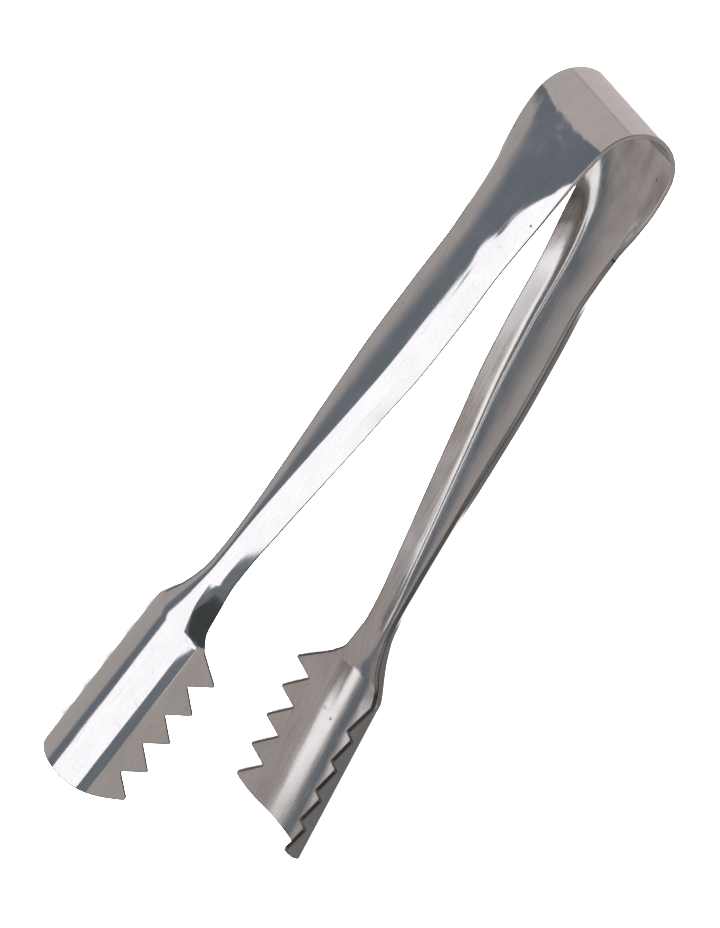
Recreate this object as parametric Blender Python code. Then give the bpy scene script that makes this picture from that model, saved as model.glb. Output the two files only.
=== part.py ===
"""Ice tongs pressed from one strip of stainless sheet.

The tongs lie on the strip's two long edges: X runs from the bow to the claws, the arms
open along Y, and Z is up, across the width of the strip.  The bow is a flat spring, each
arm is a shallow channel that stiffens the strip, and each claw is a trough with teeth on
both edges.  The strip is made as five solids, cut where it starts to flex and where the
channel widens into the claw: bow_spring, left_arm, right_arm, left_claw and right_claw.

Lengths are in millimetres and angles in degrees until strip_object turns them into metres.
"""
import bpy
import math

import numpy as np

# ------------------------------------------------------------------ driving dimensions
MM = 0.001
SHEET = 1.0             # thickness of the sheet
GAP = 0.3               # clearance between two solids of the strip

# The bow, seen from above, is an arc about the middle of the tongs.
BOW_RADIUS = 9.8        # to the middle of the sheet
ARM_ANGLE = 6.4         # between an arm and the tongs' centre line
BOW_TURN = 90.0 - ARM_ANGLE
BOW_LENGTH = math.radians(BOW_TURN) * BOW_RADIUS
FLAT_BOW = 0.8          # part of the bow's length that is flat in section
HINGE_TURN = 45.0       # how far round the bow each arm starts to flex

# The claw's floor and corners are arcs in section, and its flat walls end in teeth.
TOOTH_TIP = 19.9        # along the wall, from the middle of the floor to a tooth's tip
TOOTH_ROOT = 15.3       # the same, to the root between two teeth
TOOTH_PITCH = 7.97
TEETH = 5
ROOT_PLACE = 0.43       # place of a root between one tip and the next
FIRST_TIP = 140.2       # along the arm, from the end of the bow
SHOULDER = 135.2        # along the arm, where the teeth begin
SHOULDER_EDGE = 13.6    # along the wall, where the teeth begin
NOSE = 5.6              # how far the rounded end of the floor runs past the last tips
NOSE_POWER = 2.6        # 2 is a parabola, and more is a blunter nose
WALL_FIXED = 12.6       # the teeth leave the wall alone up to here
CLAW_START = 120.0      # along the arm, where the channel starts to widen into the claw
CLAW_OFFSET = 3.9       # how far the claw's floor stands out from the arm's line
CLAW_FLOOR = 7.5        # half the claw's floor
CLAW_FLOOR_TURN = 24.0
CLAW_CORNER_TURN = 34.0
CLAW_SECTION = (CLAW_FLOOR, CLAW_FLOOR_TURN, WALL_FIXED - CLAW_FLOOR, CLAW_CORNER_TURN,
                SHOULDER_EDGE - WALL_FIXED)

# The bow is flat across, so the widths of its floor and corner only place the cuts.
BOW_FLOOR = 8.0
BOW_CORNER = 5.0

# Each station of an arm: distance along the arm from the end of the bow, how far the floor
# stands out from the arm's line, half the floor's width and how far it turns, the corner's
# length and how far it turns, and the width of the flange.
ARM_STATIONS = (
    (5.4, 1.0, 7.2, 2.0, 5.0, 5.0, 2.5),
    (11.5, 1.9, 6.6, 4.0, 5.0, 18.0, 2.5),
    (17.6, 2.35, 6.0, 4.0, 4.5, 34.0, 3.0),
    (25.7, 2.3, 5.5, 4.0, 3.6, 42.0, 3.6),
    (33.7, 1.95, 5.5, 4.0, 2.8, 46.0, 3.8),
    (45.8, 1.65, 5.9, 4.0, 2.5, 47.0, 3.9),
    (57.8, 1.5, 5.8, 4.0, 2.4, 48.0, 3.9),
    (73.9, 1.4, 4.6, 4.0, 2.2, 50.0, 3.8),
    (90.0, 1.3, 2.9, 5.0, 2.2, 44.0, 3.8),
    (106.0, 1.15, 1.2, 5.0, 2.4, 40.0, 3.6),
    (116.0, 1.2, 0.7, 4.0, 2.6, 44.0, 3.2),
    (122.2, 1.4, 0.7, 4.0, 3.0, 46.0, 3.0),
    (126.3, 2.0, 1.3, 6.0, 3.6, 44.0, 3.1),
    (129.6, 2.65, 2.2, 9.0, 4.2, 42.0, 2.9),
    (132.0, 3.2, 3.6, 13.0, 4.8, 34.0, 2.1),
)

# Steps of the grid over each half of the section, and round the claw's nose.
FLOOR_STEPS = 3
CORNER_STEPS = 3
FLANGE_STEPS = 2
NOSE_STEPS = 4

# Cuts across the strip in the bow, in an arm's share of the bow, in the rest of the arm,
# and in the claw up to its teeth.
BOW_CUTS = 21
BEND_CUTS = 5
ARM_CUTS = 25
SHOULDER_CUTS = 10

SHARP_ANGLE = 40.0      # edges that turn more than this are shaded sharp
PROBE = 0.01            # step either side of a point to find the sheet's direction there

STEEL_COLOUR = (0.62, 0.60, 0.58, 1.0)
STEEL_ROUGHNESS = 0.22


# ------------------------------------------------------------------ section of the strip
def arc_step(length, start, turn):
    """Across and inward run of an arc that starts at an angle and turns by another."""
    first, last = math.radians(start), math.radians(start + turn)
    if math.isclose(first, last):
        return length * math.cos(first), length * math.sin(first)
    radius = length / (last - first)
    across = radius * (math.sin(last) - math.sin(first))
    inward = radius * (math.cos(first) - math.cos(last))
    return across, inward


def section_point(section, width):
    """Across and inward place on the middle of the sheet, a width away from the floor's middle."""
    floor, floor_turn, corner, corner_turn, _flange = section
    left = abs(width)
    angle = across = inward = 0.0
    for length, turn in ((floor, floor_turn), (corner, corner_turn), (math.inf, 0.0)):
        run = min(left, length)
        if run <= 0.0:
            break
        part_turn = turn * run / length
        step = arc_step(run, angle, part_turn)
        across += step[0]
        inward += step[1]
        angle += part_turn
        left -= run
    return math.copysign(across, width), inward


def half_height():
    """From the middle of the strip to its lowest points, the tips of the teeth."""
    across, _inward = section_point(CLAW_SECTION, TOOTH_TIP)
    return across + SHEET / 2 * math.sin(math.radians(CLAW_FLOOR_TURN + CLAW_CORNER_TURN))


def station_table():
    """Every station from the crown to the shoulder, where the claw's section begins.

    Columns: distance from the crown along the sheet, offset of the floor, and the five
    numbers of the section.
    """
    bow = (0.0, BOW_FLOOR, 0.0, BOW_CORNER, 0.0, STRIP_HALF - BOW_FLOOR - BOW_CORNER)
    rows = [(distance, *bow) for distance in (0.0, BOW_LENGTH * FLAT_BOW)]
    rows += [(BOW_LENGTH + along, *rest) for along, *rest in ARM_STATIONS]
    rows.append((BOW_LENGTH + SHOULDER, CLAW_OFFSET, *CLAW_SECTION))
    return np.array(rows)


def smooth_columns(table, distance):
    """The table's row at a distance, by cubic pieces that never overshoot a station.

    The last station holds for everything beyond it, and meets the flare in a crease.
    """
    knots = table[:, 0]
    distance = min(distance, knots[-1])
    step = np.diff(knots)
    rise = np.diff(table[:, 1:], axis=0) / step[:, None]
    slope = np.zeros_like(table[:, 1:])
    before, after = rise[:-1], rise[1:]
    same_way = before * after > 0.0
    total = np.where(same_way, before + after, 1.0)
    slope[1:-1] = np.where(same_way, 2.0 * before * after / total, 0.0)
    slope[-1] = rise[-1]
    i = int(np.clip(np.searchsorted(knots, distance) - 1, 0, len(step) - 1))
    t = (distance - knots[i]) / step[i]
    start, end = table[i, 1:], table[i + 1, 1:]
    return ((1 + 2 * t) * (1 - t) ** 2 * start + t * (1 - t) ** 2 * step[i] * slope[i]
            + t * t * (3 - 2 * t) * end + t * t * (t - 1) * step[i] * slope[i + 1])


# ------------------------------------------------------------------ the strip's surface
STRIP_HALF = half_height()
TABLE = station_table()


def floor_path(distance):
    """Place and outward direction, in plan, of the arm's line at a distance from the crown."""
    turn = min(distance, BOW_LENGTH) / BOW_RADIUS
    place = BOW_RADIUS * np.array((1.0 - math.cos(turn), math.sin(turn)))
    outward = np.array((-math.cos(turn), math.sin(turn)))
    along = np.array((math.sin(turn), math.cos(turn)))
    return place + along * max(distance - BOW_LENGTH, 0.0), outward


def middle_point(distance, width):
    """A point on the middle of the sheet, right of the crown or, at minus a distance, left."""
    offset, *section = smooth_columns(TABLE, abs(distance))
    across, inward = section_point(section, width)
    place, outward = floor_path(abs(distance))
    x, y = place + outward * (offset - inward)
    return np.array((x, math.copysign(y, distance), across))


def sheet_point(distance, width, side):
    """A point of the outer (side +1) or inner (side -1) face of the sheet."""
    along = middle_point(distance + PROBE, width) - middle_point(distance - PROBE, width)
    across = middle_point(distance, width + PROBE) - middle_point(distance, width - PROBE)
    normal = np.cross(across, along)
    normal *= SHEET / 2 / np.linalg.norm(normal)
    return middle_point(distance, width) + side * normal


# ------------------------------------------------------------------ grids over the strip
def section_widths(distance, edge):
    """Places across the strip, edge to edge, with steps that suit floor, corner and flange."""
    _offset, floor, _turn, corner, *_rest = smooth_columns(TABLE, abs(distance))
    bend = floor + corner
    half = [floor * k / FLOOR_STEPS for k in range(1, FLOOR_STEPS + 1)]
    half += [floor + corner * k / CORNER_STEPS for k in range(1, CORNER_STEPS + 1)]
    half += [bend + (edge - bend) * k / FLANGE_STEPS for k in range(1, FLANGE_STEPS + 1)]
    return [-width for width in reversed(half)] + [0.0] + half


def plain_edge(distance):
    """Half the width of the strip, along the sheet, where it has no teeth."""
    _offset, floor, _turn, corner, _corner_turn, flange = smooth_columns(TABLE, abs(distance))
    return floor + corner + flange


def plain_rows(start, end, count):
    """Cuts straight across the strip at even distances."""
    rows = []
    for distance in np.linspace(start, end, count):
        widths = section_widths(distance, plain_edge(distance))
        rows.append([(distance, width) for width in widths])
    return rows


def tooth_rows():
    """Cuts through each tip and root of the claw's teeth, then round its nose."""
    rows = []
    last_tip = FIRST_TIP + (TEETH - 1) * TOOTH_PITCH
    last_root = last_tip - (1.0 - ROOT_PLACE) * TOOTH_PITCH
    for tooth in range(TEETH - 1):
        tip = FIRST_TIP + tooth * TOOTH_PITCH
        for along, edge in ((tip, TOOTH_TIP), (tip + ROOT_PLACE * TOOTH_PITCH, TOOTH_ROOT)):
            distance = BOW_LENGTH + along
            rows.append([(distance, width) for width in section_widths(distance, edge)])
    for k in range(1, NOSE_STEPS + 1):
        part = k / NOSE_STEPS
        edge = TOOTH_ROOT + (TOOTH_TIP - TOOTH_ROOT) * part
        row = []
        for width in section_widths(BOW_LENGTH + last_tip, edge):
            end = last_tip + NOSE * (1.0 - (abs(width) / TOOTH_TIP) ** NOSE_POWER)
            row.append((BOW_LENGTH + last_root + (end - last_root) * part, width))
        rows.append(row)
    return rows


def mirrored(rows):
    """The same cuts on the left half of the strip, still in order along it."""
    return [[(-distance, width) for distance, width in row] for row in reversed(rows)]


# ------------------------------------------------------------------ objects
def closed_sheet_faces(rows, columns):
    """Quads round a grid of outer points that is followed by the same grid of inner points."""
    inner = rows * columns
    faces = []
    for i in range(rows - 1):
        for j in range(columns - 1):
            a = i * columns + j
            faces.append((a, a + 1, a + columns + 1, a + columns))
            a += inner
            faces.append((a, a + columns, a + columns + 1, a + 1))
    rim = [i * columns for i in range(rows)]
    rim += [(rows - 1) * columns + j for j in range(1, columns)]
    rim += [i * columns + columns - 1 for i in range(rows - 2, -1, -1)]
    rim += range(columns - 2, 0, -1)
    for a, b in zip(rim, rim[1:] + rim[:1]):
        faces.append((a, b, b + inner, a + inner))
    return faces


def steel(name):
    """Plain polished steel for one sub-part."""
    material = bpy.data.materials.new(name + "_steel")
    material.use_nodes = True
    shader = material.node_tree.nodes["Principled BSDF"]
    shader.inputs["Base Color"].default_value = STEEL_COLOUR
    shader.inputs["Metallic"].default_value = 1.0
    shader.inputs["Roughness"].default_value = STEEL_ROUGHNESS
    return material


def strip_object(name, rows, pivot):
    """A closed piece of the strip from cuts across it, with its origin on a pivot."""
    points = [sheet_point(distance, width, side)
              for side in (1, -1) for row in rows for distance, width in row]
    mesh = bpy.data.meshes.new(name)
    faces = closed_sheet_faces(len(rows), len(rows[0]))
    mesh.from_pydata([((point - pivot) * MM).tolist() for point in points], [], faces)
    mesh.shade_smooth()
    mesh.set_sharp_from_angle(angle=math.radians(SHARP_ANGLE))
    mesh.materials.append(steel(name))
    item = bpy.data.objects.new(name, mesh)
    item.location = (pivot + ORIGIN_SHIFT) * MM
    bpy.context.collection.objects.link(item)
    return item


def frame_shift():
    """Moves the strip so that the origin is under the middle of its bounding box."""
    nose = FIRST_TIP + (TEETH - 1) * TOOTH_PITCH + NOSE
    far_end = sheet_point(BOW_LENGTH + nose, 0.0, -1)[0]
    return np.array(((SHEET / 2 - far_end) / 2, 0.0, STRIP_HALF))


for old in list(bpy.data.objects):
    bpy.data.objects.remove(old)

ORIGIN_SHIFT = frame_shift()
HINGE = math.radians(HINGE_TURN) * BOW_RADIUS
NECK = BOW_LENGTH + CLAW_START
SHOULDER_END = BOW_LENGTH + SHOULDER

arm = plain_rows(HINGE + GAP / 2, BOW_LENGTH, BEND_CUTS)[:-1]
arm += plain_rows(BOW_LENGTH, NECK - GAP / 2, ARM_CUTS)
claw = plain_rows(NECK + GAP / 2, SHOULDER_END, SHOULDER_CUTS) + tooth_rows()
bow = plain_rows(-HINGE + GAP / 2, HINGE - GAP / 2, BOW_CUTS)

strip_object("bow_spring", bow, np.zeros(3))
for side, turn in (("right", lambda rows: rows), ("left", mirrored)):
    hinge = middle_point(HINGE if side == "right" else -HINGE, 0.0)
    strip_object(side + "_arm", turn(arm), hinge)
    strip_object(side + "_claw", turn(claw), hinge)
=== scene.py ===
"""Looks of the ice tongs: the pressed strip as two fine meshes, steel, studio and camera.

The strip is described in millimetres by two numbers: how far along it a point lies from the
crown of the bow, and how far across it from the middle of the floor.  The tables below turn
them into a place in space.  Each half of the strip is one mesh, from the crown to its claw.
"""
import math
from types import SimpleNamespace

import bpy
import numpy as np
from mathutils import Matrix, Vector


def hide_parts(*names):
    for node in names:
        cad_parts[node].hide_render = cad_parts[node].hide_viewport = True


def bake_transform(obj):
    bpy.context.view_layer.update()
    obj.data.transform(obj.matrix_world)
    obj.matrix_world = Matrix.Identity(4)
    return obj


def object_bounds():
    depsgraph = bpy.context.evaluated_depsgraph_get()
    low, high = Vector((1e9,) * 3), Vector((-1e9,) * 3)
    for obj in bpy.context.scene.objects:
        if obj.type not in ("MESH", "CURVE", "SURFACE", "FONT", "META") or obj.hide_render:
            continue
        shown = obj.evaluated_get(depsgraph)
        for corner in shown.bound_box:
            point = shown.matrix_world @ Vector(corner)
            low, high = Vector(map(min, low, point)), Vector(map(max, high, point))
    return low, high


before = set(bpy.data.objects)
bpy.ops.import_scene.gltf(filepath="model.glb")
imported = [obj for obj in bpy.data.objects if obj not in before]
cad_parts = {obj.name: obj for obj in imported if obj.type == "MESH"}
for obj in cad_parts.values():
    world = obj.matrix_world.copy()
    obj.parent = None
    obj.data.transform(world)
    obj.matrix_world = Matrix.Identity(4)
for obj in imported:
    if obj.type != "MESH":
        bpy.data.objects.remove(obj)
CAD_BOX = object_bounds()

MM = 0.001

# ------------------------------------------------------------------ shape of the strip
SHEET = 1.0             # thickness
BOW_RADIUS = 9.8        # to the middle of the sheet
BOW_TURN = math.radians(83.6)
BOW_LENGTH = BOW_TURN * BOW_RADIUS
FLAT_BOW = 0.8          # part of the bow's length that is flat in section
BOW_FLOOR = 8.0         # half the width that becomes an arm's floor
BOW_CORNER = 5.0        # the width on each side that becomes a corner
TOOTH_TIP = 19.9        # across, from the middle of the floor
TOOTH_ROOT = 15.3
TOOTH_PITCH = 7.97
TEETH = 5
ROOT_PLACE = 0.43       # place of a root between one tip and the next
FIRST_TIP = BOW_LENGTH + 140.2
LAST_TIP = FIRST_TIP + (TEETH - 1) * TOOTH_PITCH
SHOULDER = BOW_LENGTH + 135.2
SHOULDER_EDGE = 13.6
NOSE = 5.6              # how far the rounded end runs past the last tips
NOSE_POWER = 2.6        # 2 is a parabola, and more is a blunter nose
NOSE_START = 1.0        # inside the last tip: the place of the nose that it is rounded towards
WALL_FIXED = 12.6       # the teeth leave the wall alone up to here
CLAW_OFFSET = 3.9
CLAW_FLOOR = 7.5        # half the claw's floor, and its turn in degrees
CLAW_FLOOR_TURN = 24.0
CLAW_CORNER_TURN = 34.0
STRIP_HALF = (CAD_BOX[1][2] - CAD_BOX[0][2]) / MM / 2
ORIGIN_SHIFT = np.array((CAD_BOX[0][0] / MM + SHEET / 2, 0.0, STRIP_HALF))

# Stations of an arm: distance from the end of the bow, how far the floor stands out from the
# arm's line, half the floor's width and its turn in degrees, the corner's length and its turn,
# and the flange's width.  The bow's section has the same order without the distance.
BOW_SECTION = (0.0, BOW_FLOOR, 0.0, BOW_CORNER, 0.0, STRIP_HALF - BOW_FLOOR - BOW_CORNER)
ARM_STATIONS = (
    (5.4, 1.0, 7.2, 2.0, 5.0, 5.0, 2.5),
    (11.5, 1.9, 6.6, 4.0, 5.0, 18.0, 2.5),
    (17.6, 2.35, 6.0, 4.0, 4.5, 34.0, 3.0),
    (25.7, 2.3, 5.5, 4.0, 3.6, 42.0, 3.6),
    (33.7, 1.95, 5.5, 4.0, 2.8, 46.0, 3.8),
    (45.8, 1.65, 5.9, 4.0, 2.5, 47.0, 3.9),
    (57.8, 1.5, 5.8, 4.0, 2.4, 48.0, 3.9),
    (73.9, 1.4, 4.6, 4.0, 2.2, 50.0, 3.8),
    (90.0, 1.3, 2.9, 5.0, 2.2, 44.0, 3.8),
    (106.0, 1.15, 1.2, 5.0, 2.4, 40.0, 3.6),
    (116.0, 1.2, 0.7, 4.0, 2.6, 44.0, 3.2),
    (122.2, 1.4, 0.7, 4.0, 3.0, 46.0, 3.0),
    (126.3, 2.0, 1.3, 6.0, 3.6, 44.0, 3.1),
    (129.6, 2.65, 2.2, 9.0, 4.2, 42.0, 2.9),
    (132.0, 3.2, 3.6, 13.0, 4.8, 34.0, 2.1),
)
LONGEST = LAST_TIP + 4 * NOSE   # the tables along the strip end here, well past the nose

# Softening of the pressed shape, and the fine steps of the tables along the strip.
TABLE_STEP = 0.02
SOFT_ALONG = 3.0        # half width of the blur along the strip
SOFT_CREASE = 0.25      # the same at the shoulder, where the flare meets the claw in a crease
CREASE_RUN = 6.0        # length before the shoulder over which the one turns into the other
SOFT_BOW = 1.6          # half width of the change from the bow's arc to the straight arm
SOFT_ACROSS = 0.8       # half width of the change from floor to corner and corner to flange
QUADRATURE = np.polynomial.legendre.leggauss(20)
PROBE = 0.05            # step either side of a point to find the direction along the strip

# Rounding of the cut edges and of the corners of the teeth.
EDGE_ROUND = 0.27
TIP_ROUND = 0.42
ROOT_ROUND = 0.25
LAST_TIP_ROUND = 0.8
ROUNDED_OFF = 0.54      # how far a tip's rounding lies inside its sharp corner, in radii
EDGE_STEPS = 3
FILLET_STEPS = 4        # even, because the last tip's fillet is a corner of the grid

# Steps of the grid, and the spacing of its cuts at distances from the crown.
FLOOR_STEPS = 9
CORNER_STEPS = 8
FLANGE_STEPS = 8
FLANK_STEPS = 5
ROW_SPACING = ((0.0, 0.45), (16.0, 0.8), (40.0, 1.2), (125.0, 0.6))

# Places of the three materials on a half's mesh.
OUTSIDE, INSIDE, CUT_EDGE = range(3)

# Patterns of the steel.  The pattern's unit is a length in millimetres.  Each noise has the
# length and the width of its spots in millimetres and its detail, and each kind of scratch
# has the length and the width of its wander and how thin its lines are.
PATTERN_MM = 100.0
BLOTCHES = (9.0, 5.0, 4.0)
GRAIN = (16.0, 0.5, 3.0)
SPECKLES = (0.7, 0.5, 2.0)
STAINS = (12.0, 7.0, 5.0)
WAVES = (11.0, 6.0, 1.0)
DENTS = (4.0, 3.4, 1.0)
LONG_SCRATCHES = (26.0, 3.0, 0.004)
SHORT_SCRATCHES = (6.0, 9.0, 0.0025)
PIT_SPACING = 17.0
PIT_SIZE = 0.35
PITTED = (0.6, 0.62)    # of the cells, those whose random value lies above this have a pit
NOISE = (0.3, 0.7)      # where nearly all values of a noise lie

# Colour: how strongly each pattern changes it, and where from the crown it changes.
STAIN_COLOUR = (0.22, 0.20, 0.175)
STAIN_SPREAD = (0.4, 0.75)
STAIN_FADES = (20.0, 48.0)
FAR_STAIN = 0.12        # part of the stain that is left beyond there
# Between these distances the colour goes from its brightness at the bow to the one beyond it; on
# the cut edge the darker far part is a painted dark reflection.
BOW_FADES = (22.0, 34.0)
SPECKLE_SHADE = 0.02
SCRATCH_SHADE = 0.08
PIT_SHADE = 0.25

# Roughness: blotches and grain are parts of the steel's own roughness.
BLOTCH_DULL = 1.5
BLOTCH_SPREAD = (0.35, 0.75)
GRAIN_DULL = 0.3
GRAIN_SPREAD = (0.4, 0.7)
SCRATCH_DULL = 0.05
RUBBED = 0.04           # extra at the tips of the teeth

# Heights of the surface in millimetres.
PEEL = 0.0012
BRUSHING = 0.02
PIT_DEPTH = 0.03
DENT_HEIGHT = 0.055     # on the bow where it starts to turn into an arm
DENT_ZONE = (10.0, 18.0, 2.0)


def smooth_ramp(x, half_width):
    """max(x, 0) with its corner rounded off within half_width of zero."""
    near = (x + half_width) ** 2 / (4 * half_width)
    return np.where(x <= -half_width, 0.0, np.where(x >= half_width, x, near))


def station_table():
    """Every station up to the shoulder: distance from the crown, offset and the section."""
    rows = [(distance, *BOW_SECTION) for distance in (0.0, BOW_LENGTH * FLAT_BOW)]
    rows += [(BOW_LENGTH + along, *rest) for along, *rest in ARM_STATIONS]
    claw = (CLAW_OFFSET, CLAW_FLOOR, CLAW_FLOOR_TURN, WALL_FIXED - CLAW_FLOOR,
            CLAW_CORNER_TURN, SHOULDER_EDGE - WALL_FIXED)
    rows.append((SHOULDER, *claw))
    return np.array(rows)


def smooth_columns(table, distance):
    """Rows of the table at distances, by cubic pieces that never overshoot a station.

    The last station holds for everything beyond it, and meets the flare in a crease.
    """
    knots = table[:, 0]
    distance = np.minimum(distance, knots[-1])
    step = np.diff(knots)
    rise = np.diff(table[:, 1:], axis=0) / step[:, None]
    slope = np.zeros_like(table[:, 1:])
    before, after = rise[:-1], rise[1:]
    same_way = before * after > 0.0
    total = np.where(same_way, before + after, 1.0)
    slope[1:-1] = np.where(same_way, 2.0 * before * after / total, 0.0)
    slope[-1] = rise[-1]
    i = np.clip(np.searchsorted(knots, distance) - 1, 0, len(step) - 1)
    t = ((distance - knots[i]) / step[i])[:, None]
    start, end, run = table[i, 1:], table[i + 1, 1:], step[i][:, None]
    return ((1 + 2 * t) * (1 - t) ** 2 * start + t * (1 - t) ** 2 * run * slope[i]
            + t * t * (3 - 2 * t) * end + t * t * (t - 1) * run * slope[i + 1])


def blurred(columns, half_width):
    """Columns averaged along the strip with a rounded weight."""
    count = int(round(half_width / TABLE_STEP))
    weight = np.hanning(2 * count + 3)[1:-1]
    weight /= weight.sum()
    padded = np.pad(columns, ((count, count), (0, 0)), mode="edge")
    return np.stack([np.convolve(column, weight, "valid") for column in padded.T], axis=1)


ALONG = np.arange(0.0, LONGEST, TABLE_STEP)
STATIONS = smooth_columns(station_table(), ALONG)
CREASED = np.clip((ALONG - SHOULDER + CREASE_RUN) / CREASE_RUN, 0.0, 1.0)[:, None]
SECTIONS = blurred(STATIONS, SOFT_ALONG) * (1 - CREASED) + blurred(STATIONS, SOFT_CREASE) * CREASED
HEADING = (ALONG - smooth_ramp(ALONG - BOW_LENGTH, SOFT_BOW)) / BOW_RADIUS


def running_sum(values):
    """Integral along the strip from the crown, by trapezoids."""
    middle = (values[1:] + values[:-1]) / 2 * TABLE_STEP
    return np.concatenate(((0.0,), np.cumsum(middle)))


PATH_X = running_sum(np.sin(HEADING))
PATH_Y = running_sum(np.cos(HEADING))


def at(column, distance):
    """A table's value at distances from the crown."""
    return np.interp(distance, ALONG, column)


def section_angle(distance, width):
    """How far the sheet has turned inward, in radians, at places across the strip."""
    floor, floor_turn, corner, corner_turn = (at(SECTIONS[:, k], distance) for k in (1, 2, 3, 4))
    floor_bend = np.radians(floor_turn) / floor
    corner_bend = np.radians(corner_turn) / corner
    angle = floor_bend * width
    for start, change in ((floor, corner_bend - floor_bend), (floor + corner, -corner_bend)):
        angle = angle + change * (smooth_ramp(width - start, SOFT_ACROSS)
                                  - smooth_ramp(-width - start, SOFT_ACROSS))
    return angle


def middle(distance, width):
    """Points on the middle of the right half's sheet, one row for each distance and width."""
    side = np.where(distance < 0.0, -1.0, 1.0)
    distance = np.abs(distance)
    nodes, weights = QUADRATURE
    across = np.zeros_like(width)
    inward = np.zeros_like(width)
    for node, weight in zip(nodes, weights):
        angle = section_angle(distance, width * (node + 1) / 2)
        across += np.cos(angle) * weight / 2 * width
        inward += np.sin(angle) * weight / 2 * width
    heading = at(HEADING, distance)
    out = at(SECTIONS[:, 0], distance) - inward
    x = at(PATH_X, distance) - np.cos(heading) * out
    y = at(PATH_Y, distance) + np.sin(heading) * out
    return np.stack((x, y * side, across), axis=1)


def unit(vectors):
    """Rows of vectors, each made one long."""
    return vectors / np.linalg.norm(vectors, axis=1)[:, None]


def directions(distance, width):
    """Unit directions along the strip and across it, and the outward normal."""
    along = unit(middle(distance + PROBE, width) - middle(distance - PROBE, width))
    heading = at(HEADING, distance)
    angle = section_angle(distance, width)
    across = np.stack((np.sin(angle) * np.cos(heading), -np.sin(angle) * np.sin(heading),
                       np.cos(angle)), axis=1)
    return along, across, unit(np.cross(across, along))


# ------------------------------------------------------------------ outline and grid
def plain_edge(distance):
    """Half the strip's width, along the sheet, where it has no teeth."""
    return at(SECTIONS[:, 1] + SECTIONS[:, 3] + SECTIONS[:, 5], distance)


def nose_point(width):
    """A point of the claw's rounded end."""
    return np.array((LAST_TIP + NOSE * (1.0 - (abs(width) / TOOTH_TIP) ** NOSE_POWER), width))


def fillet(before, corner, after, radius):
    """Points round a corner of the outline, from the line before it to the line after it."""
    back, forth = (np.subtract(end, corner) for end in (before, after))
    back, forth = back / np.linalg.norm(back), forth / np.linalg.norm(forth)
    half = math.acos(back @ forth) / 2
    centre = corner + unit((back + forth)[None])[0] * radius / math.sin(half)
    start, end = (corner + line * radius / math.tan(half) - centre for line in (back, forth))
    turn = math.pi - 2 * half
    parts = np.linspace(0.0, 1.0, FILLET_STEPS + 1)
    return [centre + (start * math.sin((1 - part) * turn) + end * math.sin(part * turn))
            / math.sin(turn) for part in parts]


def row_distances():
    """Distances of the cuts from the crown to the shoulder."""
    starts, spacings = zip(*ROW_SPACING)
    distances = [0.0]
    while distances[-1] < SHOULDER:
        distances.append(distances[-1] + float(np.interp(distances[-1], starts, spacings)))
    return np.array(distances) * SHOULDER / distances[-1]


def tooth_corners():
    """Corners of the toothed edge and their radii: each tip, and each root between two tips."""
    corners = []
    for tooth in range(TEETH):
        tip = FIRST_TIP + tooth * TOOTH_PITCH
        radius = LAST_TIP_ROUND if tooth == TEETH - 1 else TIP_ROUND
        corners.append(((tip, TOOTH_TIP + ROUNDED_OFF * radius), radius))
        corners.append(((tip + ROOT_PLACE * TOOTH_PITCH, TOOTH_ROOT), ROOT_ROUND))
    return corners[:-1]


def side_outline():
    """One long edge, from the crown to the middle of the last tip's rounding.

    Also gives the number of its points before the last tooth's flank, and the points of the
    last rounding's other half.
    """
    outline = [np.array((distance, plain_edge(distance))) for distance in row_distances()]
    corners = tooth_corners()
    stops = [outline[-1]] + [corner for corner, _radius in corners]
    stops.append(nose_point(TOOTH_TIP - NOSE_START))
    for number, (corner, radius) in enumerate(corners):
        before_flank = len(outline)
        rounding = fillet(stops[number], corner, stops[number + 2], radius)
        start = outline[-1]
        for part in np.linspace(0.0, 1.0, FLANK_STEPS + 1)[1:-1]:
            outline.append((1 - part) * start + part * rounding[0])
        outline += rounding
    half = FILLET_STEPS // 2
    return np.array(outline[:-half]), before_flank, np.array(outline[-half:])


def inward_directions(outline):
    """Unit directions into the sheet from an open outline that runs with it on its right."""
    steps = unit(np.diff(outline, axis=0))
    lines = unit(np.concatenate((steps[:1], steps[:-1] + steps[1:], steps[-1:])))
    return np.stack((lines[:, 1], -lines[:, 0]), axis=1)


def section_parts():
    """Places across half a section, as parts of floor, corner and flange: 0 to 3."""
    parts = [k / FLOOR_STEPS for k in range(FLOOR_STEPS)]
    parts += [1 + k / CORNER_STEPS for k in range(CORNER_STEPS)]
    return np.array(parts + [2 + k / FLANGE_STEPS for k in range(FLANGE_STEPS + 1)])


def half_widths(distance, edge):
    """Widths from the middle of the floor to the edge of one cut."""
    floor = at(SECTIONS[:, 1], distance)
    corner = floor + at(SECTIONS[:, 3], distance)
    return np.interp(section_parts(), (0, 1, 2, 3), (0.0, floor, corner, edge))


def both_sides(half):
    """Widths from one edge to the other from the widths of one half."""
    return np.concatenate((-half[:0:-1], half))


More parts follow.
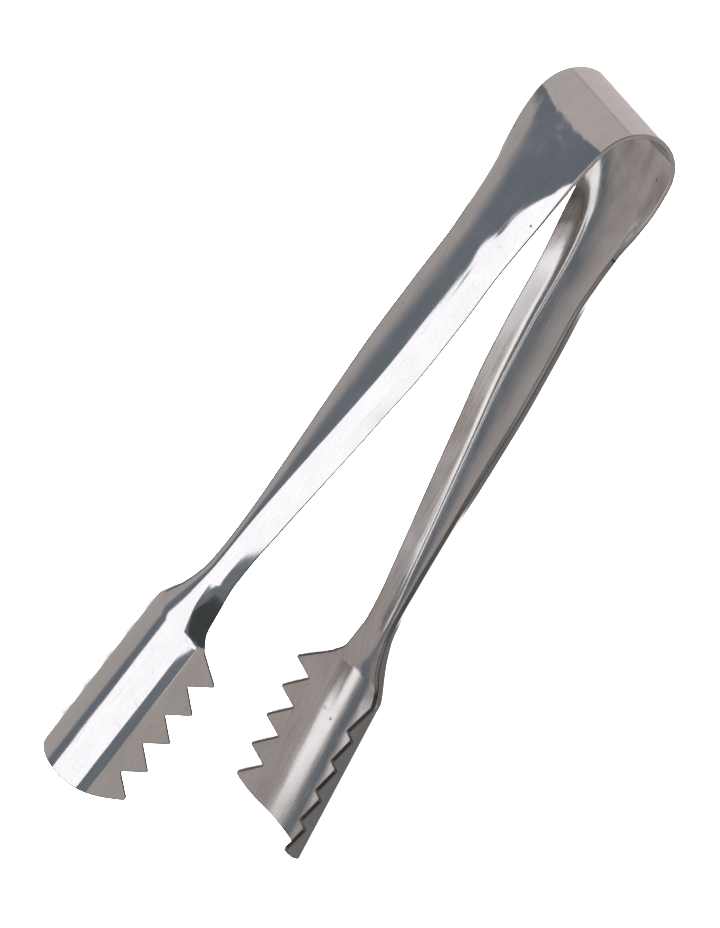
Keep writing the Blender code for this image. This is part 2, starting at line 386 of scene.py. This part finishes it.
def outline_and_grid():
    """The strip's flat pattern: its outline, and a grid of places inside the rounded edges.

    The outline runs from the crown along the +width edge, round the nose and back along the
    other edge.  The grid holds, for each cut, places from the -width edge to the +width one.
    """
    side, before_flank, rounding = side_outline()
    nose_half = half_widths(LAST_TIP, rounding[-1][1])[:-1 - len(rounding)]
    nose = np.concatenate((rounding, [nose_point(width) for width in nose_half[::-1]]))
    half_loop = np.concatenate((side, nose))
    mirror = np.array((1.0, -1.0))
    outline = np.concatenate((half_loop, half_loop[-2::-1] * mirror))
    rim = outline + EDGE_ROUND * inward_directions(outline)
    rim[[0, -1], 0] = 0.0
    right = rim[:len(side)]

    cuts = []
    for (base, _edge), (end, edge) in zip(side[:before_flank], right):
        widths = both_sides(half_widths(base, edge))
        share = np.clip((np.abs(widths) - WALL_FIXED) / max(edge - WALL_FIXED, TABLE_STEP), 0, 1)
        cuts.append(np.stack((base + (end - base) * share, widths), axis=1))

    last_cut = cuts[-1]
    nose_cut = rim[len(side) - 1:len(outline) - len(side) + 1][::-1]
    steps = np.linalg.norm(np.diff(right[before_flank - 1:], axis=0), axis=1)
    run = np.concatenate(((0.0,), np.cumsum(steps))) / steps.sum()
    across = ((last_cut[:, 1] / last_cut[-1, 1] + 1) / 2)[:, None]
    for part, place in zip(run[1:], right[before_flank:]):
        blend = (1 - part) * last_cut + part * nose_cut
        ends = place * mirror, place
        corners = blend[0], blend[-1]
        cuts.append(blend + (1 - across) * (ends[0] - corners[0]) + across * (ends[1] - corners[1]))
    return outline, np.array(cuts)


# ------------------------------------------------------------------ meshes
def rim_rings(outline):
    """Rings of points and normals round the cut edge, from the outer face to the inner one."""
    inwards = inward_directions(outline)
    quarter = [math.pi / 2 * k / EDGE_STEPS for k in range(1, EDGE_STEPS + 1)]
    rings = []
    for face, turns in ((1.0, quarter), (-1.0, quarter[::-1])):
        for turn in turns:
            places = outline + inwards * EDGE_ROUND * (1 - math.sin(turn))
            places[[0, -1], 0] = 0.0
            along, across, normal = directions(places[:, 0], places[:, 1])
            height = face * (SHEET / 2 - EDGE_ROUND * (1 - math.cos(turn)))
            points = middle(places[:, 0], places[:, 1]) + height * normal
            outwards = -(inwards[:, :1] * along + inwards[:, 1:] * across)
            rings.append((points, unit(outwards * math.sin(turn) + normal * face * math.cos(turn)),
                          places))
    return rings


def grid_loop(rows, columns):
    """Grid points in the order of the outline, from the +width end of the first cut."""
    loop = [row * columns + columns - 1 for row in range(rows)]
    loop += [(rows - 1) * columns + column for column in range(columns - 2, -1, -1)]
    return loop + [row * columns for row in range(rows - 2, -1, -1)]


def strip_points():
    """Points, normals and flat places of the right half, and its grid's rows and columns."""
    outline, grid = outline_and_grid()
    places = grid.reshape(-1, 2)
    _along, _across, normal = directions(places[:, 0], places[:, 1])
    centre = middle(places[:, 0], places[:, 1])
    layers = [(centre + normal * SHEET / 2, normal, places),
              (centre - normal * SHEET / 2, -normal, places)]
    layers += rim_rings(outline)
    points, normals, flat = (np.concatenate(parts) for parts in zip(*layers))
    return points, normals, flat, grid.shape[:2]


def grid_faces(rows, columns):
    """Faces of the outer grid and the inner one, and their materials."""
    faces, slots = [], []
    inner = rows * columns
    for row in range(rows - 1):
        for column in range(columns - 1):
            a = row * columns + column
            faces.append((a, a + 1, a + columns + 1, a + columns))
            slots.append(OUTSIDE)
            a += inner
            faces.append((a, a + columns, a + columns + 1, a + 1))
            slots.append(INSIDE)
    return faces, slots


def edge_faces(rows, columns):
    """Faces round the cut edge and across the crown's end, and their materials."""
    faces, slots = [], []
    inner = rows * columns
    loop = grid_loop(rows, columns)
    bands = [loop]
    for ring in range(2 * EDGE_STEPS):
        first = 2 * inner + ring * len(loop)
        bands.append(list(range(first, first + len(loop))))
    bands.append([inner + corner for corner in loop])
    for outer_band, inner_band in zip(bands, bands[1:]):
        for k in range(len(loop) - 1):
            faces.append((outer_band[k + 1], outer_band[k], inner_band[k], inner_band[k + 1]))
            slots.append(CUT_EDGE)
    for column in range(columns - 1):
        faces.append((column + 1, column, inner + column, inner + column + 1))
        slots.append(INSIDE)
    for end in (0, -1):
        corner = [band[end] for band in bands]
        faces.append(tuple(corner[::-1] if end == 0 else corner))
        slots.append(INSIDE)
    return faces, slots


def half_strip(name, side, materials):
    """One half of the strip, from the crown to its nose; side is +1 right or -1 left."""
    points, normals, flat, (rows, columns) = strip_points()
    faces, slots = grid_faces(rows, columns)
    more_faces, more_slots = edge_faces(rows, columns)
    faces += more_faces
    slots += more_slots
    if side < 0:
        points, normals = points * (1, -1, 1), normals * (1, -1, 1)
        faces = [face[::-1] for face in faces]
        flat = flat * (-1, 1)
    mesh = bpy.data.meshes.new(name)
    mesh.from_pydata(((points + ORIGIN_SHIFT) * MM).tolist(), [], faces)
    for material in materials:
        mesh.materials.append(material)
    mesh.polygons.foreach_set("material_index", slots)
    mesh.polygons.foreach_set("use_smooth", [True] * len(faces))
    layer = mesh.uv_layers.new(name="strip")
    corners = np.empty(len(mesh.loops), dtype=np.int32)
    mesh.loops.foreach_get("vertex_index", corners)
    layer.data.foreach_set("uv", (flat[corners] / PATTERN_MM).ravel())
    mesh.update()
    mesh.normals_split_custom_set_from_vertices(normals.tolist())
    piece = bpy.data.objects.new(name, mesh)
    bpy.context.collection.objects.link(piece)
    return piece


# ------------------------------------------------------------------ steel
def node(tree, kind, *values, **settings):
    """A node whose inputs are linked or set in order, skipping None."""
    item = tree.nodes.new(kind)
    for name, value in settings.items():
        setattr(item, name, value)
    for socket, value in zip(item.inputs, values):
        if value is None:
            continue
        if isinstance(value, bpy.types.NodeSocket):
            tree.links.new(value, socket)
        else:
            socket.default_value = value
    return item


def maths(tree, operation, *values):
    """The result of one operation on values or sockets."""
    return node(tree, "ShaderNodeMath", *values, operation=operation).outputs[0]


def between(tree, value, low, high, soft):
    """1 where a value lies between low and high, 0 outside, with soft edges."""
    rise = node(tree, "ShaderNodeMapRange", value, low - soft, low + soft, 0.0, 1.0,
                interpolation_type="SMOOTHSTEP").outputs[0]
    fall = node(tree, "ShaderNodeMapRange", value, high - soft, high + soft, 1.0, 0.0,
                interpolation_type="SMOOTHSTEP").outputs[0]
    return maths(tree, "MULTIPLY", rise, fall)


def stretch(tree, value, low, high, start=0.0, end=1.0):
    """A value from low..high spread over start..end, and held beyond them."""
    return node(tree, "ShaderNodeMapRange", value, low, high, start, end).outputs[0]


def spots(tree, place, length, width, detail=2.0):
    """Noise round 0.5 whose spots are so many millimetres along the strip and across it."""
    scaled = node(tree, "ShaderNodeMapping", place, None, None,
                  (PATTERN_MM / length, PATTERN_MM / width, 1.0)).outputs[0]
    return node(tree, "ShaderNodeTexNoise", scaled, None, 1.0, detail,
                noise_dimensions="2D").outputs["Fac"]


def hairlines(tree, place, length, width, thin):
    """1 on thin scratches that wander along the strip, 0 elsewhere."""
    wave = spots(tree, place, length, width, 1.0)
    off = maths(tree, "ABSOLUTE", maths(tree, "SUBTRACT", wave, 0.5))
    return stretch(tree, off, 0.0, thin, 1.0, 0.0)


def pits(tree, place):
    """1 in a few small round pits, 0 elsewhere."""
    scaled = node(tree, "ShaderNodeMapping", place, None, None,
                  (PATTERN_MM / PIT_SPACING, PATTERN_MM / PIT_SPACING, 1.0)).outputs[0]
    cells = node(tree, "ShaderNodeTexVoronoi", scaled, None, 1.0, voronoi_dimensions="2D")
    parts = node(tree, "ShaderNodeSeparateXYZ", cells.outputs["Color"]).outputs
    chosen = stretch(tree, parts[0], *PITTED)
    rim = PIT_SIZE / PIT_SPACING
    near = stretch(tree, cells.outputs["Distance"], rim / 2, rim, 1.0, 0.0)
    return maths(tree, "MULTIPLY", chosen, near)


def steel_patterns(tree):
    """Sockets that colour, roughness and height share: place, distances in mm and patterns."""
    place = node(tree, "ShaderNodeUVMap", uv_map="strip").outputs[0]
    along, across = node(tree, "ShaderNodeSeparateXYZ", place).outputs[:2]
    return SimpleNamespace(
        place=place,
        from_crown=maths(tree, "MULTIPLY", maths(tree, "ABSOLUTE", along), PATTERN_MM),
        from_floor=maths(tree, "MULTIPLY", maths(tree, "ABSOLUTE", across), PATTERN_MM),
        blotches=spots(tree, place, *BLOTCHES),
        grain=spots(tree, place, *GRAIN),
        speckle=spots(tree, place, *SPECKLES),
        scratches=maths(tree, "MAXIMUM", hairlines(tree, place, *LONG_SCRATCHES),
                        hairlines(tree, place, *SHORT_SCRATCHES)),
        holes=pits(tree, place))


def steel_colour(tree, pattern, colour, mottle, streak, stain, near_bow, far):
    """The colour: blotches, streaks, speckles, scratches and pits, stains near the bow, and a
    change of brightness beyond the bow, which on the cut edge is painted shade.
    """
    shade = maths(tree, "ADD",
                  stretch(tree, pattern.blotches, *NOISE, 1.0 - mottle, 1.0 + mottle),
                  stretch(tree, pattern.grain, *NOISE, -streak, streak))
    shade = maths(tree, "ADD", shade,
                  stretch(tree, pattern.speckle, *NOISE, -SPECKLE_SHADE, SPECKLE_SHADE))
    # From the bow on, the brightness turns from near_bow to far; on the cut edge this darkening is
    # a painted dark reflection.
    shade = maths(tree, "MULTIPLY", shade,
                  stretch(tree, pattern.from_crown, *BOW_FADES, near_bow, far))
    shade = maths(tree, "SUBTRACT", shade,
                  maths(tree, "MULTIPLY", pattern.scratches, SCRATCH_SHADE))
    shade = maths(tree, "MULTIPLY", shade,
                  stretch(tree, pattern.holes, 0.0, 1.0, 1.0, PIT_SHADE))
    clean = node(tree, "ShaderNodeVectorMath", colour, None, None, shade, operation="SCALE")
    dirt = maths(tree, "MULTIPLY",
                 stretch(tree, spots(tree, pattern.place, *STAINS), *STAIN_SPREAD),
                 stretch(tree, pattern.from_crown, *STAIN_FADES, stain, stain * FAR_STAIN))
    tint = node(tree, "ShaderNodeMix", data_type="RGBA")
    tree.links.new(dirt, tint.inputs["Factor"])
    tree.links.new(clean.outputs[0], tint.inputs["A"])
    tint.inputs["B"].default_value = (*STAIN_COLOUR, 1.0)
    return tint.outputs["Result"]


def steel_roughness(tree, pattern, roughness):
    """The roughness: duller in blotches, in streaks, on scratches and at the teeth's tips."""
    dull = maths(tree, "ADD",
                 stretch(tree, pattern.blotches, *BLOTCH_SPREAD, roughness,
                         roughness * BLOTCH_DULL),
                 stretch(tree, pattern.grain, *GRAIN_SPREAD, 0.0, roughness * GRAIN_DULL))
    dull = maths(tree, "ADD", dull, maths(tree, "MULTIPLY", pattern.scratches, SCRATCH_DULL))
    return maths(tree, "ADD", dull,
                 stretch(tree, pattern.from_floor, WALL_FIXED, TOOTH_TIP, 0.0, RUBBED))


def steel_normal(tree, pattern, streak, ripple):
    """The normal: waves, fine peel, brush lines, dents near the bow and pits."""
    height = maths(tree, "MULTIPLY", spots(tree, pattern.place, *WAVES), ripple)
    height = maths(tree, "ADD", height, maths(tree, "MULTIPLY", pattern.speckle, PEEL))
    height = maths(tree, "ADD", height,
                   maths(tree, "MULTIPLY", pattern.grain, BRUSHING * streak))
    dents = maths(tree, "SUBTRACT", spots(tree, pattern.place, *DENTS), 0.5)
    dents = maths(tree, "MULTIPLY", dents, between(tree, pattern.from_crown, *DENT_ZONE))
    height = maths(tree, "ADD", height, maths(tree, "MULTIPLY", dents, DENT_HEIGHT))
    height = maths(tree, "SUBTRACT", height, maths(tree, "MULTIPLY", pattern.holes, PIT_DEPTH))
    bump = node(tree, "ShaderNodeBump")
    bump.inputs["Strength"].default_value = 1.0
    bump.inputs["Distance"].default_value = MM
    tree.links.new(height, bump.inputs["Height"])
    return bump.outputs[0]


def steel(name, colour, roughness, mottle, streak, ripple, stain, near_bow, far):
    """Worn steel that varies in blotches, and in streaks along the strip.

    Mottle and streak are how strongly its colour varies, ripple is the height of its waves in
    millimetres, and stain is how dark the blotches are near the bow.  Near_bow and far are
    its brightness at the bow and beyond it; the cut edge's darker far part is painted shade,
    a painted dark reflection along the edges of the arms and teeth.
    """
    material = bpy.data.materials.new(name)
    material.use_nodes = True
    tree = material.node_tree
    shader = tree.nodes["Principled BSDF"]
    pattern = steel_patterns(tree)
    tree.links.new(steel_colour(tree, pattern, colour, mottle, streak, stain, near_bow, far),
                   shader.inputs["Base Color"])
    tree.links.new(steel_roughness(tree, pattern, roughness), shader.inputs["Roughness"])
    tree.links.new(steel_normal(tree, pattern, streak, ripple), shader.inputs["Normal"])
    shader.inputs["Metallic"].default_value = 1.0
    return material


STEELS = (
    steel("outer_steel", (0.71, 0.70, 0.70), 0.07, mottle=0.035, streak=0.018, ripple=0.03,
          stain=0.0, near_bow=1.0, far=1.0),
    steel("inner_steel", (0.67, 0.65, 0.645), 0.14, mottle=0.06, streak=0.05, ripple=0.02,
          stain=0.5, near_bow=0.93, far=1.0),
    # The cut edge keeps its colour on the bow and is painted down to 0.3 beyond it: a painted dark
    # reflection along the edges of the arms and teeth.
    steel("edge_steel_painted_shade", (0.62, 0.60, 0.58), 0.25, mottle=0.05, streak=0.05, ripple=0.01,
          stain=0.2, near_bow=1.0, far=0.3),
)


# ------------------------------------------------------------------ the two halves
for name, side, arm, claw, body in (
        ("right_half_strip", 1.0, "right_arm", "right_claw", "right_half"),
        ("left_half_strip", -1.0, "left_arm", "left_claw", "left_half")):
    piece = half_strip(name, side, STEELS)
    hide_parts("bow_spring", arm, claw)
    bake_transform(piece)


# ------------------------------------------------------------------ studio
# The camera's place is in millimetres from the bow's crown, and its lens and sensor too.
CAMERA_PLACE = np.array((-207.48, -599.82, 793.95))
CAMERA_RIGHT = Vector((-0.52043, 0.76745, 0.37440))
CAMERA_DOWN = Vector((0.80229, 0.28934, 0.52212))
LENS = 189.08
SENSOR = 36.0

# The floor's half width, colour and roughness, and the lamp above it, which is so bright that
# the tongs' shadow hardly shows.
FLOOR_HALF = 3.0
FLOOR_COLOUR = (0.9, 0.9, 0.9, 1.0)
FLOOR_ROUGHNESS = 0.9
LAMP_PLACE = (0.0, 0.0, 1.5)
LAMP_SIZE = 3.0
LAMP_POWER = 420.0


def camera():
    """The camera, turned so that its picture runs along the right and down directions."""
    data = bpy.data.cameras.new("camera")
    data.lens = LENS
    data.sensor_width = SENSOR
    data.sensor_fit = "AUTO"
    item = bpy.data.objects.new("camera", data)
    place = (CAMERA_PLACE + ORIGIN_SHIFT) * MM
    back = CAMERA_RIGHT.cross(-CAMERA_DOWN)
    turn = Matrix((CAMERA_RIGHT, -CAMERA_DOWN, back)).transposed().to_4x4()
    item.matrix_world = Matrix.Translation(place) @ turn
    bpy.context.collection.objects.link(item)
    bpy.context.scene.camera = item


# What the steel sees round it: each patch has its colour, its two azimuths and two elevations
# in degrees, how much its elevations rise in a degree of azimuth, and its two soft edges.
TAUPE = (0.42, 0.385, 0.365)
DARK_ROOM = (0.06, 0.066, 0.068)
DARK_GAP = (0.165, 0.187, 0.213)
PATCHES = (
    # floor, and its pale part under the bow with a dark joint
    ((0.44, 0.405, 0.39), (-400.0, 400.0), (-100.0, -48.0), 0.0, (1.0, 2.0)),
    ((0.52, 0.48, 0.46), (-178.0, -101.0), (-62.0, -40.0), 0.0, (0.7, 1.0)),
    ((0.64, 0.58, 0.565), (85.0, 177.0), (-62.0, -40.0), 0.0, (1.0, 1.0)),
    # dark room left of the softbox, and the gap beside and under the softbox
    (DARK_ROOM, (-200.0, -118.0), (-5.0, 60.0), 0.0, (4.0, 4.0)),
    (DARK_GAP, (-118.0, -75.0), (-38.0, 60.0), 0.0, (1.5, 1.5)),
    (DARK_GAP, (-101.5, -30.0), (-34.5, -12.0), 0.25, (0.5, 3.5)),
    # table edge and window on the other side
    ((0.17, 0.168, 0.16), (60.0, 110.0), (-26.0, -5.0), 0.0, (1.5, 1.5)),
    ((1.3, 1.3, 1.27), (50.0, 76.0), (-50.0, -27.0), 0.0, (1.5, 1.5)),
    ((1.5, 1.47, 1.46), (74.0, 98.0), (-64.0, -36.0), 0.0, (2.0, 2.0)),
)

# Panels beside the tongs and under them: colour, and corners in metres.  Only the steel sees
# them.  The upright ones stand some way from the tongs' middle plane, on the left half's side.
WHITE = (1.36, 1.35, 1.38)
SHADOW = (0.19, 0.195, 0.205)
SOFTBOX_AWAY = 0.30
CARD_AWAY = 0.08
NEAR_CARD_AWAY = 0.05
UNDER_FLOOR = -0.001


def upright(away, *corners):
    """Corners of a panel that faces the tongs, from places along X and heights."""
    return [(x, -away, z) for x, z in corners]


def flat_panel(*corners):
    """Corners of a panel that lies just under the floor."""
    return [(x, y, UNDER_FLOOR) for x, y in corners]


PANELS = (
    ("softbox", WHITE, upright(
        SOFTBOX_AWAY, (0.018, -0.246), (0.29, -0.13), (0.29, 0.06), (0.155, 0.45),
        (-0.015, 0.45), (-0.03, 0.28), (-0.05, 0.16), (-0.0185, 0.03), (-0.0185, -0.02),
        (-0.024, -0.05), (-0.010, -0.12), (0.005, -0.20))),
    ("dark_card", DARK_GAP, upright(
        CARD_AWAY, (0.066, 0.050), (0.12, 0.050), (0.12, 0.098), (0.066, 0.098))),
    ("neck_card", DARK_GAP, upright(
        NEAR_CARD_AWAY, (0.0285, 0.049), (0.037, 0.0445), (0.045, 0.044), (0.045, 0.056),
        (0.0285, 0.056))),
    ("arm_card", TAUPE, upright(
        NEAR_CARD_AWAY, (0.034, 0.062), (0.080, 0.062), (0.080, 0.085), (0.034, 0.085))),
    ("shoulder_card", WHITE, upright(
        CARD_AWAY, (0.018, -0.032), (0.045, -0.032), (0.045, 0.022), (0.018, 0.022))),
    ("taupe_card", TAUPE, upright(
        CARD_AWAY, (-0.005, 0.113), (0.010, 0.115), (0.030, 0.118), (0.036, 0.092),
        (0.064, 0.092), (0.064, 0.100), (0.14, 0.100), (0.14, 0.30), (-0.005, 0.30))),
    ("shaded_floor", SHADOW, flat_panel(
        (-0.055, -0.016), (0.05, -0.028), (0.05, -0.003), (-0.055, -0.003))),
)


def studio_light():
    """A world whose colours depend on direction only, like a tent with dark and bright parts."""
    world = bpy.data.worlds.new("studio")
    world.use_nodes = True
    tree = world.node_tree
    tree.nodes.clear()
    direction = node(tree, "ShaderNodeTexCoord").outputs["Generated"]
    parts = node(tree, "ShaderNodeSeparateXYZ", direction).outputs
    azimuth = maths(tree, "DEGREES", maths(tree, "ARCTAN2", parts[1], parts[0]))
    elevation = maths(tree, "DEGREES", maths(tree, "ARCSINE", parts[2]))
    colour = node(tree, "ShaderNodeRGB").outputs[0]
    colour.default_value = (*TAUPE, 1.0)
    for patch, (start, end), (low, high), slope, soft in PATCHES:
        level = elevation
        if slope:
            level = maths(tree, "SUBTRACT", elevation, maths(tree, "MULTIPLY", azimuth, slope))
        inside = maths(tree, "MULTIPLY", between(tree, azimuth, start, end, soft[0]),
                       between(tree, level, low, high, soft[1]))
        mix = node(tree, "ShaderNodeMix", data_type="RGBA")
        tree.links.new(inside, mix.inputs["Factor"])
        tree.links.new(colour, mix.inputs["A"])
        mix.inputs["B"].default_value = (*patch, 1.0)
        colour = mix.outputs["Result"]
    background = node(tree, "ShaderNodeBackground", colour, 1.0)
    out = tree.nodes.new("ShaderNodeOutputWorld")
    tree.links.new(background.outputs[0], out.inputs["Surface"])
    bpy.context.scene.world = world


def area_light(name, place, size, power):
    """A soft lamp above the floor, which the steel doesn't mirror."""
    data = bpy.data.lights.new(name, "AREA")
    data.size = size
    data.energy = power
    item = bpy.data.objects.new(name, data)
    item.location = place
    item.rotation_euler = Vector(place).to_track_quat("Z", "Y").to_euler()
    item.visible_glossy = False
    bpy.context.collection.objects.link(item)


def panel(name, colour, corners):
    """A flat card that only mirror rays see."""
    mesh = bpy.data.meshes.new(name)
    mesh.from_pydata(corners, [], [tuple(range(len(corners)))])
    material = bpy.data.materials.new(name)
    material.use_nodes = True
    tree = material.node_tree
    tree.nodes.clear()
    glow = node(tree, "ShaderNodeEmission", (*colour, 1.0), 1.0)
    out = tree.nodes.new("ShaderNodeOutputMaterial")
    tree.links.new(glow.outputs[0], out.inputs["Surface"])
    mesh.materials.append(material)
    item = bpy.data.objects.new(name, mesh)
    item.visible_camera = False
    item.visible_diffuse = False
    item.visible_shadow = False
    bpy.context.collection.objects.link(item)


def floor():
    """The white floor, which the steel doesn't mirror."""
    mesh = bpy.data.meshes.new("floor")
    corners = [(x * FLOOR_HALF, y * FLOOR_HALF, 0) for x, y in ((-1, -1), (1, -1), (1, 1), (-1, 1))]
    mesh.from_pydata(corners, [], [(0, 1, 2, 3)])
    material = bpy.data.materials.new("floor")
    material.use_nodes = True
    shader = material.node_tree.nodes["Principled BSDF"]
    shader.inputs["Base Color"].default_value = FLOOR_COLOUR
    shader.inputs["Roughness"].default_value = FLOOR_ROUGHNESS
    mesh.materials.append(material)
    item = bpy.data.objects.new("floor", mesh)
    item.visible_glossy = False
    bpy.context.collection.objects.link(item)


camera()
floor()
studio_light()
for name, colour, corners in PANELS:
    panel(name, colour, corners)
area_light("top_light", LAMP_PLACE, LAMP_SIZE, LAMP_POWER)
bpy.context.scene.view_settings.view_transform = "Standard"
